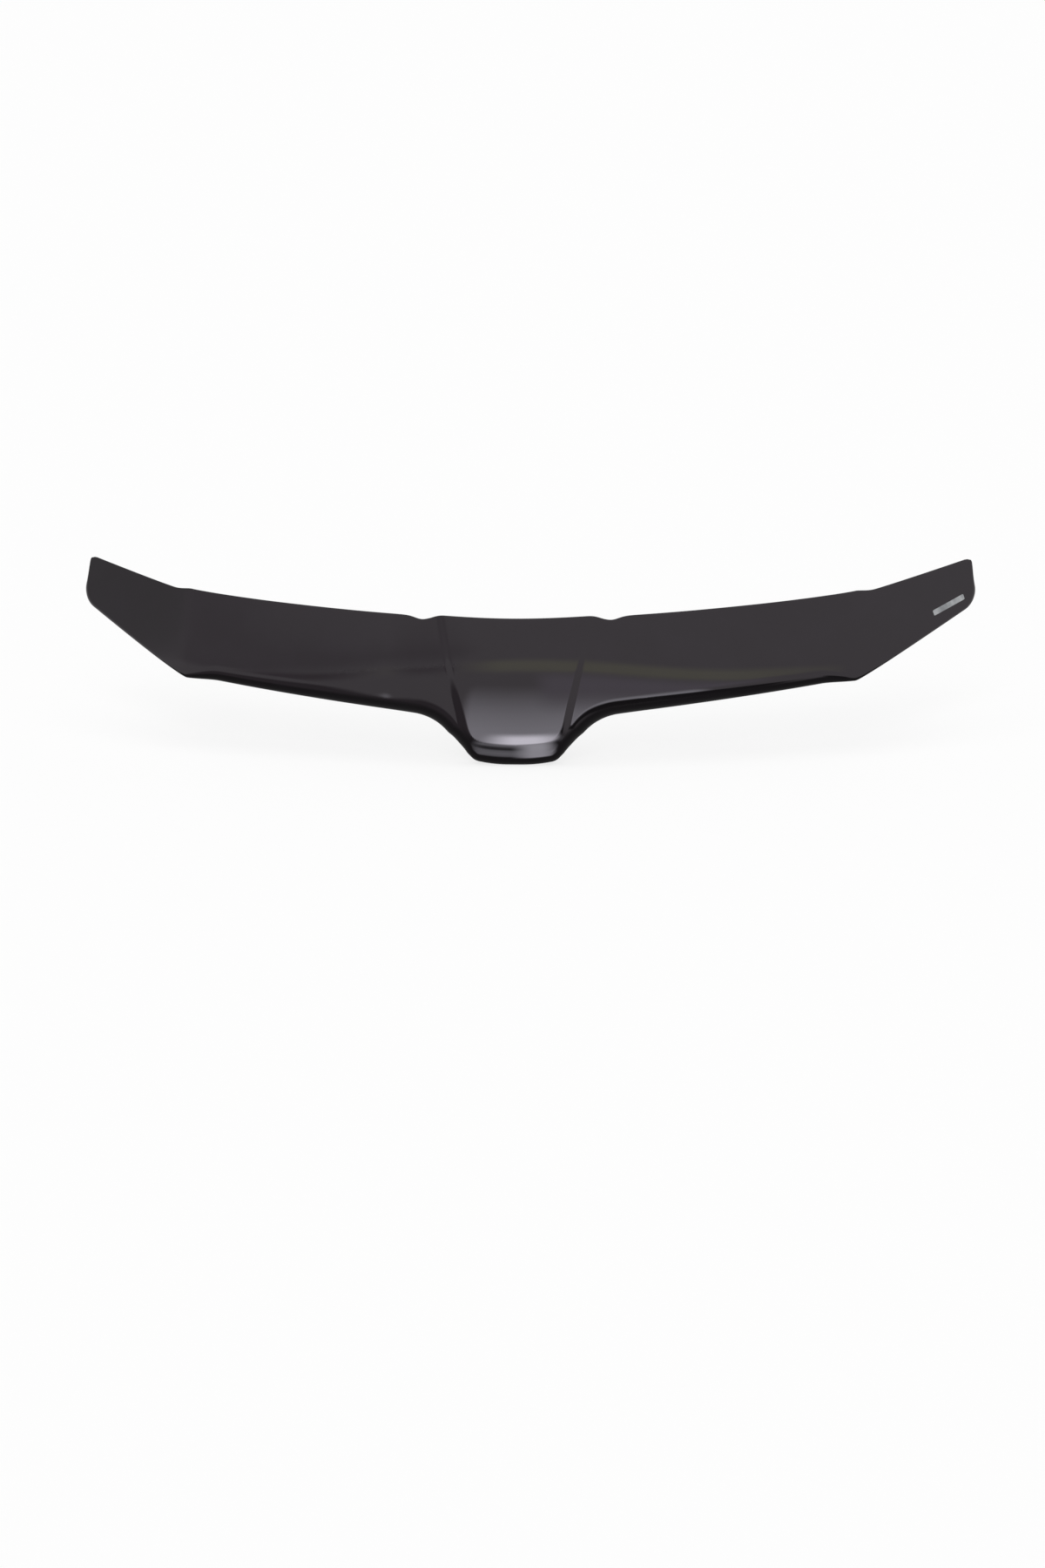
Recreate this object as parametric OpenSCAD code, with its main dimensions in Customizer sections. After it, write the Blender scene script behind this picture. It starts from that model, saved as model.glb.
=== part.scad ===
// Hood deflector: a one-piece moulded shield that wraps the front edge of a car's hood.
// Frame: +X across the car, +Y towards the rear, +Z up, in millimetres.
// The origin is midway between the two nose screw holes, at half the thickness of the flange.

/* [Outline, seen from the front] */
// Half of the width from tip to tip
tip_half = 645; // [610:1:690]
// Height of the tip's lower corner
tip_low_z = 188; // [165:1:200]
// Height of the tip's upper corner
tip_top_z = 246; // [235:1:270]
// How far the upper corner lies inside the lower one
tip_end_lean = 8.5; // [0:0.5:20]
// Distance from the middle to the fold where the swept tip starts
fold_half = 473; // [450:1:500]
// Height of the lower edge at the fold
fold_z = 103; // [92:0.5:118]
// Distance from the middle to the shoulder beside the nose
shoulder_half = 117; // [105:1:128]
// Height of the shoulder
shoulder_z = 64.5; // [55:0.5:78]
// Half of the width of the nose at its lower corners
nose_half = 57; // [48:1:66]
// Height of the nose's lower corners above its middle
nose_corner_z = 4.5; // [1:0.5:6]
// Height of the top edge in the middle
top_z = 202; // [190:1:215]
// Rise of the top edge from the middle to the fold
wing_rise = 20; // [8:0.5:28]

/* [Corner radii] */
// Radius of the curved lower edge of the nose
crown_r = 220; // [120:10:240]
// Radius of the nose's lower corners
nose_r = 20; // [17:0.5:26]
// Radius of the hollow beside the nose
shoulder_r = 75; // [40:1:85]
// Radius of the corner at the fold
fold_r = 18; // [14:1:40]
// Radius of the tip's lower corner
tip_low_r = 30; // [15:1:36]
// Radius of the tip's upper corner
tip_top_r = 6; // [5:0.5:12]

/* [Depth, front to rear] */
// How far the lower edge sweeps back at the fold
bow = 80; // [55:1:120]
// Extra angle that turns the tips back beyond the fold
tip_turn = 15; // [8:0.5:26]
// How far the nose stands out in front of the wings
nose_out = 14; // [5:0.5:22]
// Distance over which the nose blends into the wings
nose_reach = 180; // [150:1:220]
// Angle by which the lower face leans back
low_lean = 5; // [0:0.5:8]
// Angle by which the upper face leans back
up_lean = 35; // [28:0.5:42]
// Height of the bend between the two faces, in the middle
bend_z = 146; // [138:1:154]
// Drop of the bend towards the wings
bend_drop = 24; // [18:0.5:30]
// Distance from the middle at which the bend has dropped
bend_reach = 330; // [280:1:380]
// Softness of the bend
bend_soft = 20; // [14:1:30]
// Height below which the nose curves back
tuck_z = 118; // [60:1:130]
// How far the nose has curved back at its lower edge
tuck = 14; // [2:0.5:18]

/* [Raised middle panel] */
// How far the middle panel stands out
panel_raise = 2.6; // [2:0.1:4.5]
// Width of the step along the panel's border
panel_step = 12; // [11:0.5:16]
// Half width of the panel over the nose
panel_half = 76; // [70:1:86]
// Half width of the panel at the top edge
panel_top_half = 107; // [96:1:118]
// Height of the panel's lower border
panel_low_z = 24; // [18:1:30]
// Rounding of the panel's lower corners
panel_corner = 26; // [20:1:60]

/* [Wall and edges] */
// Thickness of the moulded sheet
wall = 3; // [2.5:0.1:3.5]
// Outer radius where the sheet rolls under along the wings
wing_roll_r = 26; // [14:0.5:30]
// Outer radius where the sheet rolls under round the nose
nose_roll_r = 13; // [10:0.5:15]
// Straight length of the flange behind the roll
flange_len = 14; // [13:0.5:18]
// Outer radius of the small hem round the tips
hem_r = 4.5; // [4:0.1:6]
// Straight length of the hem round the tips
hem_len = 2; // [1:0.1:4]

/* [Screw holes] */
// Diameter of the holes through the flange
hole_d = 5.5; // [4.5:0.1:6.5]
// Distance of the nose holes from the middle
nose_hole_x = 32; // [24:1:40]
// Distance of the inner wing holes from the middle
inner_hole_x = 235; // [200:1:260]
// Distance of the outer wing holes from the middle
outer_hole_x = 420; // [380:1:450]

/* [Rubber bumpers behind the top edge] */
// Diameter of a bumper
bumper_d = 14; // [10:0.5:18]
// Thickness of a bumper
bumper_h = 5; // [3:0.5:7]
// Bevel round the bumper's rear face
bumper_bevel = 1; // [0.5:0.1:2]
// Distance of the bumpers' centres below the top edge
bumper_inset = 16; // [13:0.5:22]
// Distance of the inner bumpers from the middle
bumper_inner_x = 75; // [60:1:120]
// Distance of the middle bumpers from the middle
bumper_middle_x = 265; // [230:1:300]
// Distance of the outer bumpers from the middle
bumper_outer_x = 450; // [400:1:480]

/* [Foam tape behind the tips] */
// Width of the tape
tape_w = 12; // [8:0.5:16]
// Thickness of the tape
tape_t = 1.1; // [0.8:0.1:2]
// Length of the tape
tape_len = 120; // [70:1:130]

/* [Plain strip on the right tip] */
// Width of the strip
strip_w = 8; // [5:0.5:11]
// Length of the strip
strip_len = 62; // [30:1:66]
// Thickness of the strip
strip_t = 0.4; // [0.3:0.05:0.8]
// Corner radius of the strip
strip_corner = 1.5; // [0.5:0.1:2.4]

/* [Seats] */
// Glue line between the sheet and the strip, the tape or a bumper
seat_gap = 0.15; // [0.1:0.05:0.3]

/* [Hidden] */
low_rows = [0, 0.07, 0.14, 0.24, 0.45, 0.72, 1];
face_rows_up = 6;
roll_rows = 4;
edge_round = 0.9;
corner_soft = 15;

// Small helpers
function unit(v) = v / norm(v);
function mix(a, b, t) = a + (b - a) * t;
function ease(t) = t <= 0 ? 0 : t >= 1 ? 1 : t * t * (3 - 2 * t);
// 0 below zero and t above it, with a rounded change of the given softness
function soft(t, k) = (t + sqrt(t * t + k * k)) / 2;
function softmax(a, b, k) = b + soft(a - b, k);

// The face as a depth over the front view
function bend_height(x) = bend_z - bend_drop * ease(abs(x) / bend_reach);
function sweep_back(x) = bow * pow(x / fold_half, 2) + tan(tip_turn) * soft(abs(x) - fold_half, corner_soft)
    + nose_out * ease(abs(x) / nose_reach);
function lean_back(h) = tan(low_lean) * h + (tan(up_lean) - tan(low_lean)) * soft(h, bend_soft);
function curve_under(z) = tuck * pow(max(0, 1 - z / tuck_z), 2);
panel_knee = mix(panel_low_z, bend_z, 0.35);
panel_knee_soft = 20;
panel_flare = (panel_top_half - panel_half) / (top_z - panel_knee);
function panel_border(x, z) = softmax(abs(x) - panel_half - panel_flare * soft(z - panel_knee, panel_knee_soft),
    panel_low_z - z, panel_corner);
function raised(x, z) = panel_raise * (1 - ease((panel_border(x, z) + panel_step / 2) / panel_step));
face_y0 = -(nose_roll_r + flange_len / 2) - lean_back(nose_roll_r - bend_z);
function face_y(x, z) = face_y0 + sweep_back(x) + lean_back(z - bend_height(x)) + curve_under(z) - raised(x, z);
function face_point(p) = [p.x, face_y(p.x, p.y), p.y];
// Unit vector into the sheet, from the front towards the back
function inward(p, h = 0.5) = unit([
    -(face_y(p.x + h, p.y) - face_y(p.x - h, p.y)) / (2 * h),
    1,
    -(face_y(p.x, p.y + h) - face_y(p.x, p.y - h)) / (2 * h)]);

// The lower outline as straight runs and fillets, from the middle to the tip's upper corner
function fillet(a, b, c, r, n) = let (u = unit(a - b), v = unit(c - b), half = acos(u * v) / 2,
    centre = b + unit(u + v) * r / sin(half), p = b + u * r / tan(half) - centre,
    q = b + v * r / tan(half) - centre, start = atan2(p.y, p.x),
    turn = (atan2(q.y, q.x) - start + 540) % 360 - 180)
    [for (i = [0:n]) centre + r * [cos(start + turn * i / n), sin(start + turn * i / n)]];
function run(a, b, n) = n < 2 ? [] : [for (i = [1:n - 1]) mix(a, b, i / n)];

// The top edge: a long rise, a small step beside the panel, a dip beyond it and a small step at the fold
top_step_half = fold_half + 12;
top_step_width = 28;
top_step_drop = 3;
panel_lift = 3;
panel_lift_width = 24;
dip = 4;
dip_half = panel_top_half + 26;
dip_width = 14;
tip_slope = (tip_top_z - top_z - wing_rise + top_step_drop + panel_lift) / (tip_half - tip_end_lean - top_step_half);
function top_edge(x) = top_z + wing_rise * pow(min(x, fold_half) / fold_half, 2)
    + tip_slope * soft(x - top_step_half, corner_soft)
    - top_step_drop * ease((x - top_step_half) / top_step_width + 0.5)
    - panel_lift * ease((x - panel_top_half) / panel_lift_width + 0.3)
    - dip * exp(-pow((x - dip_half) / dip_width, 2));

tip_top = [tip_half - tip_end_lean, tip_top_z];
before_tip = let (x = tip_top.x - 60) [x, top_edge(x)];
corners = [[0, 0], [nose_half / 2, 0], [nose_half, nose_corner_z], [shoulder_half, shoulder_z],
    [fold_half, fold_z], [tip_half, tip_low_z], tip_top, before_tip];
radii = [0, crown_r, nose_r, shoulder_r, fold_r, tip_low_r, tip_top_r];
arc_steps = [0, 3, 5, 8, 4, 5, 4];
run_steps = [2, 1, 2, 14, 7, 4];
arcs = [[corners[0]], for (i = [1:6]) fillet(corners[i - 1], corners[i], corners[i + 1], radii[i], arc_steps[i])];
top_arc_kept = 2;
lower_line = [for (i = [0:6]) each concat(
    i == 0 ? [] : run(arcs[i - 1][arc_steps[i - 1]], arcs[i][0], run_steps[i - 1]),
    [for (k = [0:i == 6 ? top_arc_kept : arc_steps[i]]) arcs[i][k]])];
last = len(lower_line) - 1;
travelled = [for (i = 0, s = 0; i <= last; i = i + 1, s = i > last ? s : s + norm(lower_line[i] - lower_line[i - 1])) s];
top_end = arcs[6][arc_steps[6]];

// Index of the middle of each fillet in the lower line, and the matching place on the top edge
function arc_middle(i) = i == 0 ? 0 : arc_middle(i - 1) + ceil(arc_steps[i - 1] / 2) + run_steps[i - 1]
    + floor(arc_steps[i] / 2);
nose_corner = arc_middle(2);
shoulder = arc_middle(3);
fold = arc_middle(4);
tip_low = arc_middle(5);
nose_spread = 8;
shoulder_spread = 19;
tip_spread = 38;
top_table = [[0, 0], [travelled[nose_corner], panel_half + nose_spread],
    [travelled[shoulder], panel_top_half + shoulder_spread], [travelled[fold], top_step_half],
    [travelled[tip_low], tip_top.x - tip_spread], [travelled[last], top_end.x]];

// Where the roll turns into the hem, and the hem into a plain edge, along the lower line
hem_lead = 50;
hem_change = 65;
plain_after = 8;
plain_change = 40;
function wing_share(i) = ease((travelled[i] - travelled[nose_corner]) / (travelled[shoulder] - travelled[nose_corner]));
function hem_share(i) = ease((travelled[i] - travelled[fold] + hem_lead) / hem_change);
function end_share(i) = ease((travelled[i] - travelled[tip_low] - plain_after) / plain_change);
function outward(i) = i == 0 ? [0, -1] : let (d = unit(lower_line[min(i + 1, last)] - lower_line[i - 1])) [d.y, -d.x];

// One section, as a closed loop of points that starts at the end of the roll or at the middle of a plain edge
bend_share_least = 0.25;
bend_share_most = 0.8;
plain_arc = 76;
plain_arc_end = 82;
plain_nib = 0.05;
function section(i) = let (
    plain = end_share(i),
    r = mix(mix(mix(nose_roll_r, wing_roll_r, wing_share(i)), hem_r, hem_share(i)), wall / 2, plain),
    f = mix(mix(flange_len, hem_len, hem_share(i)), 0, plain),
    d = outward(i),
    low = lower_line[i] - r * d,
    tx = lookup(travelled[i], top_table),
    top = i == last ? top_end : [tx, top_edge(tx)],
    bend_share = (bend_height(mix(low.x, top.x, 0.5)) - low.y) / (top.y - low.y),
    share = max(bend_share_least, min(bend_share_most, bend_share)),
    mid = mix(low, top, share),
    flat = concat([for (s = low_rows) mix(low, mid, s)],
        [for (j = [1:face_rows_up]) mix(mid, top, j / face_rows_up)]),
    base = face_point(low),
    n0 = inward(low),
    down = unit(face_point(low + d * 0.5) - base),
    back = [0, 1, 0],
    angles = [for (k = [roll_rows:-1:1]) mix(90, plain_arc, plain) * k / roll_rows],
    rolled = concat([r * down + (r + f) * back], [for (a = angles) r * (sin(a) * down + (1 - cos(a)) * back)]),
    rolled_in = concat([(r - wall) * down + (r + f - wall) * back],
        [for (a = angles) (r - wall) * (sin(a) * down + (1 - cos(a)) * back)]),
    half = wall / 2,
    cut = [for (a = concat([plain_arc_end], angles)) half * (sin(a) * down + (1 - cos(a)) * n0)],
    cut_in = [for (a = concat([plain_arc_end], angles)) half * (sin(a) * down - (1 - cos(a)) * n0)],
    outer = concat([for (k = [0:roll_rows]) base + mix(rolled[k], cut[k], plain)],
        [for (p = flat) face_point(p)]),
    inner = concat([for (k = [0:roll_rows]) base + wall * n0 + mix(rolled_in[k], cut_in[k], plain)],
        [for (p = flat) face_point(p) + wall * inward(p)]),
    m = len(outer) - 1,
    up = edge_round * unit(outer[m] - outer[m - 1]),
    end = mix(edge_round * back, plain_nib * down, plain))
    concat(
        [mix(outer[0], inner[0], 0.2) + end],
        outer,
        [mix(outer[m], inner[m], 0.2) + up, mix(outer[m], inner[m], 0.8) + up],
        [for (k = [m:-1:0]) inner[k]],
        [mix(outer[0], inner[0], 0.8) + end]);

function mirrored(loop) = [for (p = loop) [-p.x, p.y, p.z]];

module shell() {
    half = [for (i = [0:last]) section(i)];
    loops = concat([for (i = [last:-1:1]) mirrored(half[i])], half);
    n = len(loops);
    m = len(loops[0]);
    points = [for (loop = loops) each loop];
    sides = [for (i = [0:n - 2], j = [0:m - 1]) let (a = i * m + j, b = i * m + (j + 1) % m)
        each (i < n / 2 - 1 ? [[a, b + m, a + m], [a, b, b + m]] : [[a, b, a + m], [a + m, b, b + m]])];
    ends = [for (k = [0:m / 2 - 2]) each [
        [k, m - 2 - k, k + 1], [k, m - 1 - k, m - 2 - k],
        [(n - 1) * m + k, (n - 1) * m + k + 1, (n - 1) * m + m - 1 - k],
        [(n - 1) * m + k + 1, (n - 1) * m + m - 2 - k, (n - 1) * m + m - 1 - k]]];
    polyhedron(points, concat(sides, ends), convexity = 8);
}

// Where a vertical screw hole crosses the middle of the flange
function lower_z(x) = lookup(x, [for (p = lower_line) if (p.x < fold_half) [p.x, p.y]]);
function hole_y(x, r) = let (slope = (lower_z(x + 2) - lower_z(x - 2)) / 4, d = unit([slope, -1]),
    low = [x, lower_z(x)] - r * d, base = face_point(low), down = unit(face_point(low + d * 0.5) - base))
    base.y + r * down.y + r + flange_len / 2;

module hole(x, r) {
    translate([x, hole_y(abs(x), r), lower_z(abs(x)) - 8])
        cylinder(d = hole_d, h = 16, $fn = 48);
}

module shield() {
    color("#2a282b") difference() {
        shell();
        for (side = [-1, 1]) {
            hole(side * nose_hole_x, nose_roll_r);
            hole(side * inner_hole_x, wing_roll_r);
            hole(side * outer_hole_x, wing_roll_r);
        }
    }
}

// A place on the sheet, and a step of one true millimetre along it, seen from the front
function on_sheet(p, lift) = face_point(p) + lift * inward(p);
function true_step(p, angle) = let (u = [cos(angle), sin(angle)]) u / norm(face_point(p + u) - face_point(p));

// A thin strip that follows the sheet from a place on the front view; its length and width are true sizes
module follow(from, angle, length, width, lift, thick, corner, steps) {
    along = true_step(from, angle);
    across = true_step(from, angle + 90);
    bevel = corner * (1 - sqrt(0.5));
    stops = concat([0, bevel], [for (i = [0:steps]) mix(corner, length - corner, i / steps)],
        [length - bevel, length]);
    n = len(stops);
    halves = [for (i = [0:n - 1]) let (k = min(i, n - 1 - i)) width / 2 - (k == 0 ? corner : k == 1 ? bevel : 0)];
    near = min(lift, lift + thick);
    far = max(lift, lift + thick);
    points = [for (i = [0:n - 1]) let (p = from + stops[i] * along, h = halves[i] * across)
        each [on_sheet(p + h, near), on_sheet(p - h, near), on_sheet(p - h, far), on_sheet(p + h, far)]];
    sides = [for (i = [0:n - 2], j = [0:3]) let (a = 4 * i + j, b = 4 * i + (j + 1) % 4)
        each [[a, b + 4, b], [a, a + 4, b + 4]]];
    e = 4 * (n - 1);
    polyhedron(points, concat(sides, [[0, 2, 3], [0, 1, 2], [e, e + 2, e + 1], [e, e + 3, e + 2]]), convexity = 4);
}

strip_from = [tip_half - 64, tip_low_z - 8];
strip_angle = 21;
module plain_strip() {
    color("#c9cbcd") follow(strip_from, strip_angle, strip_len, strip_w, -seat_gap, -strip_t, strip_corner, 8);
}

// The tape lies midway between the fold and the tip's end, and midway between the lower and the upper edge
function tip_middle(x) = mix(mix(fold_z, tip_low_z, (x - fold_half) / (tip_half - fold_half)), top_edge(x), 0.5);
tape_centre = let (x = mix(fold_half, tip_top.x, 0.5)) [x, tip_middle(x)];
tape_angle = atan((tip_middle(tape_centre.x + tape_w) - tip_middle(tape_centre.x - tape_w)) / (2 * tape_w));
tape_from = tape_centre - tape_len / 2 * true_step(tape_centre, tape_angle);
module tape() {
    color("#3a3a3c") follow(tape_from, tape_angle, tape_len, tape_w, wall + seat_gap, tape_t, 0.6, 12);
}

module bumper(x) {
    place = [x, top_edge(abs(x)) - bumper_inset];
    axis = inward(place);
    color("#1b1b1c")
        translate(on_sheet(place, wall + seat_gap))
            rotate([0, acos(axis.z), atan2(axis.y, axis.x)])
                rotate_extrude($fn = 48)
                    polygon([[0, 0], [bumper_d / 2, 0], [bumper_d / 2, bumper_h - bumper_bevel],
                        [bumper_d / 2 - bumper_bevel, bumper_h], [0, bumper_h]]);
}

// Brings the middle of the nose screw holes to the origin
module placed() {
    translate([0, -hole_y(nose_hole_x, nose_roll_r), -lower_z(nose_hole_x) - wall / 2]) children();
}

placed() shield();
placed() plain_strip();
placed() mirror([1, 0, 0]) tape();  // tape_left
placed() tape();  // tape_right
placed() bumper(-bumper_inner_x);  // bumper_inner_left
placed() bumper(bumper_inner_x);  // bumper_inner_right
placed() bumper(-bumper_middle_x);  // bumper_middle_left
placed() bumper(bumper_middle_x);  // bumper_middle_right
placed() bumper(-bumper_outer_x);  // bumper_outer_left
placed() bumper(bumper_outer_x);  // bumper_outer_right
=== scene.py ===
# Looks of a hood deflector: one gloss black acrylic sheet with a raised nose panel and swept tips,
# and the rubber bumpers, foam tape and silver film strip that go on it
import math

import bmesh
import bpy
from mathutils import Matrix, Quaternion, Vector


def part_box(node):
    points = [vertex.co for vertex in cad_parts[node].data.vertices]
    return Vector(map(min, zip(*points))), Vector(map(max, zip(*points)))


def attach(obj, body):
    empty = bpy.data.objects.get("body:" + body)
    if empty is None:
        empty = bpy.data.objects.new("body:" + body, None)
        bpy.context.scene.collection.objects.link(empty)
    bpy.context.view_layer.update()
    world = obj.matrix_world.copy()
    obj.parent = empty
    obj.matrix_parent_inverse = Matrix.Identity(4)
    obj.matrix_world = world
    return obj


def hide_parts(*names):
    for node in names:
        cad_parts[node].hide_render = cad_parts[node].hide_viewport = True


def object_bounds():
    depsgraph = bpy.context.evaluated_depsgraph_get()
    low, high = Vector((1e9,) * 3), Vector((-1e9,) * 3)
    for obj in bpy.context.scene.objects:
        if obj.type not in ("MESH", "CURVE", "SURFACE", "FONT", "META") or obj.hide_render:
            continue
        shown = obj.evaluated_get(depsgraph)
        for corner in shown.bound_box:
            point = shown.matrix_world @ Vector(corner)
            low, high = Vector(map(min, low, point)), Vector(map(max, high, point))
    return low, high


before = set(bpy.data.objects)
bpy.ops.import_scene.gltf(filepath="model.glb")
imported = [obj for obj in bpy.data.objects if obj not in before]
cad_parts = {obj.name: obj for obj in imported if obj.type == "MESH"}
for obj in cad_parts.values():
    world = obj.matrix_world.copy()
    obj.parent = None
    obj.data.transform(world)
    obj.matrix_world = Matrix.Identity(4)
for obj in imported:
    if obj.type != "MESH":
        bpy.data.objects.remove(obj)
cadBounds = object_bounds()
print("frame loaded:", len(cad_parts), "nodes")


# The sheet is laid out in millimetres on a flat front view, x across the car and z up
def ease(t):
    t = min(1.0, max(0.0, t))
    return t * t * (3 - 2 * t)


def mix(a, b, t):
    return a + (b - a) * t


def softRamp(t, softness):  # 0 below zero and t above it, with a rounded change
    return (t + math.sqrt(t * t + softness * softness)) / 2


def addNode(tree, kind, settings, links):
    node = tree.nodes.new(kind)
    for name, value in settings.items():
        if isinstance(name, int) or name in node.inputs:
            node.inputs[name].default_value = value
        else:
            setattr(node, name, value)
    for name, source in links.items():
        if isinstance(source, bpy.types.Node):
            source = source.outputs[0]
        tree.links.new(source, node.inputs[name])
    return node


def newGroup(name, inputs, outputs):
    tree = bpy.data.node_groups.new(name, "GeometryNodeTree")
    for label, value in inputs.items():
        kind = value if isinstance(value, str) else "NodeSocketFloat"
        socket = tree.interface.new_socket(label, in_out="INPUT", socket_type=kind)
        if not isinstance(value, str):
            socket.default_value = value
    for label, kind in outputs.items():
        tree.interface.new_socket(label, in_out="OUTPUT", socket_type=kind)
    return tree


# What a user would change in the sheet's depth, front to rear; the labels are the trees' inputs
faceSizes = {
    "Fold half": 473.0,  # from the middle to the fold where the tip starts
    "Bow": 80.0,  # how far the lower edge sweeps back at the fold
    "Tip turn": 15.0,  # extra angle of the tips, degrees
    "Nose out": 14.0,
    "Nose reach": 180.0,
    "Corner softness": 15.0,
    "Low lean": 5.0,  # lean of the lower face, degrees
    "Up lean": 35.0,  # lean of the upper face, degrees
    "Bend z": 146.0,  # height of the bend between the two faces
    "Bend drop": 24.0,
    "Bend reach": 330.0,
    "Bend softness": 20.0,
    "Tuck z": 118.0,  # below this the nose curves back
    "Tuck": 14.0,
    "Panel raise": 2.6,
    "Panel step": 12.0,
    "Panel half": 76.0,
    "Panel top half": 107.0,
    "Panel low z": 24.0,
    "Panel corner": 26.0,
    "Panel knee share": 0.35,
    "Panel knee softness": 20.0,
    "Top z": 202.0,
}

# The outline seen from the front, and the form of its edges
outline = {
    "tipHalf": 644.8,  # a trifle short, so that the finer curve stays inside the CAD box
    "tipLowZ": 188.0,
    "tipTopZ": 245.5,
    "tipEndLean": 8.5,
    "foldZ": 103.0,
    "shoulderHalf": 117.0,
    "shoulderZ": 64.5,
    "noseHalf": 57.0,
    "noseCornerZ": 4.5,
    "wingRise": 20.0,
    "crownRadius": 220.0,
    "noseRadius": 20.0,
    "shoulderRadius": 75.0,
    "foldRadius": 18.0,
    "tipLowRadius": 30.0,
    "tipTopRadius": 7.0,
    "tipTopRun": 60.0,  # over which the corner takes the top edge's direction
    "topStepAfterFold": 12.0,
    "topStepWidth": 28.0,
    "topStepDrop": 3.0,
    "panelLift": 3.0,
    "panelLiftWidth": 24.0,
    "panelLiftLead": 0.3,  # the share of that width inside the panel
    "dip": 4.0,
    "dipAfterPanel": 26.0,
    "dipWidth": 14.0,
    "noseSpread": 8.0,  # how the sections fan out towards the top edge
    "shoulderSpread": 19.0,
    "tipSpread": 38.0,
}

sheet = {
    "wall": 3.0,
    "wingRoll": 26.0,  # outer radius where the sheet rolls under
    "noseRoll": 13.0,
    "flange": 14.0,
    "hemRadius": 4.5,
    "hemLength": 2.0,
    "hemLead": 50.0,  # the roll has become a hem soon after the fold
    "hemChange": 65.0,
    "plainAfter": 8.0,  # and the hem a plain edge round the tip's end
    "plainChange": 40.0,
    "endRound": 0.3,  # how far the edge still stands out where the tip's corner closes
    "endChange": 6.0,
    "edgeRound": 0.9,
    "stationStep": 3.2,
    "arcStep": 1.4,
    "faceRows": 64,
    "innerRows": 26,
    "rollRows": 8,
    "flangeRows": 3,
    "edgeRows": 6,
}

screwHoles = {"diameter": 5.5, "drillLength": 16.0, "noseX": 32.0, "innerX": 235.0, "outerX": 420.0}


# Straight runs and fillets, as points with a mark at the middle of each fillet
def lowerLine():
    o, fold = outline, faceSizes["Fold half"]
    tipTop = Vector((o["tipHalf"] - o["tipEndLean"], o["tipTopZ"]))
    beforeTip = Vector((tipTop.x - o["tipTopRun"], topEdge(tipTop.x - o["tipTopRun"])))
    corners = [Vector(c) for c in (
        (0, 0), (o["noseHalf"] / 2, 0), (o["noseHalf"], o["noseCornerZ"]),
        (o["shoulderHalf"], o["shoulderZ"]), (fold, o["foldZ"]), (o["tipHalf"], o["tipLowZ"]),
        tipTop, beforeTip)]
    radii = [o[k + "Radius"] for k in ("crown", "nose", "shoulder", "fold", "tipLow", "tipTop")]
    line, marks = [corners[0]], [0]
    for i, radius in enumerate(radii, start=1):
        a, b, c = corners[i - 1:i + 2]
        u, v = (a - b).normalized(), (c - b).normalized()
        half = u.angle(v) / 2
        centre = b + (u + v).normalized() * radius / math.sin(half)
        start, end = b + u * radius / math.tan(half) - centre, b + v * radius / math.tan(half) - centre
        turn = end.angle_signed(start)
        steps = 2 * max(2, math.ceil(abs(turn) * radius / sheet["arcStep"] / 2))
        first = centre + start
        run = max(1, math.ceil((first - line[-1]).length / sheet["stationStep"]))
        line += [line[-1].lerp(first, k / run) for k in range(1, run)]
        arc = []
        for k in range(steps + 1):
            spin = Matrix.Rotation(turn * k / steps, 2)
            arc.append(centre + spin @ start)
        marks.append(len(line) + steps // 2)
        line += arc[:steps // 2 + 1] if i == len(radii) else arc
    return line, marks, arc[-1]


# Height of the top edge: flat over the panel, a dip beside it, a slow rise, a small step after the fold
# and the slope of the tip
def topEdge(x):
    o, fold = outline, faceSizes["Fold half"]
    stepAt = fold + o["topStepAfterFold"]
    rise = o["tipTopZ"] - faceSizes["Top z"] - o["wingRise"] + o["topStepDrop"] + o["panelLift"]
    slope = rise / (o["tipHalf"] - o["tipEndLean"] - stepAt)
    pastPanel = x - faceSizes["Panel top half"]
    return (faceSizes["Top z"] + o["wingRise"] * (min(x, fold) / fold) ** 2
            + slope * softRamp(x - stepAt, faceSizes["Corner softness"])
            - o["topStepDrop"] * ease((x - stepAt) / o["topStepWidth"] + 0.5)
            - o["panelLift"] * ease(pastPanel / o["panelLiftWidth"] + o["panelLiftLead"])
            - o["dip"] * math.exp(-((pastPanel - o["dipAfterPanel"]) / o["dipWidth"]) ** 2))


def lookup(x, table):
    for (x0, y0), (x1, y1) in zip(table, table[1:]):
        if x <= x1:
            return mix(y0, y1, (x - x0) / (x1 - x0))
    return table[-1][1]


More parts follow.
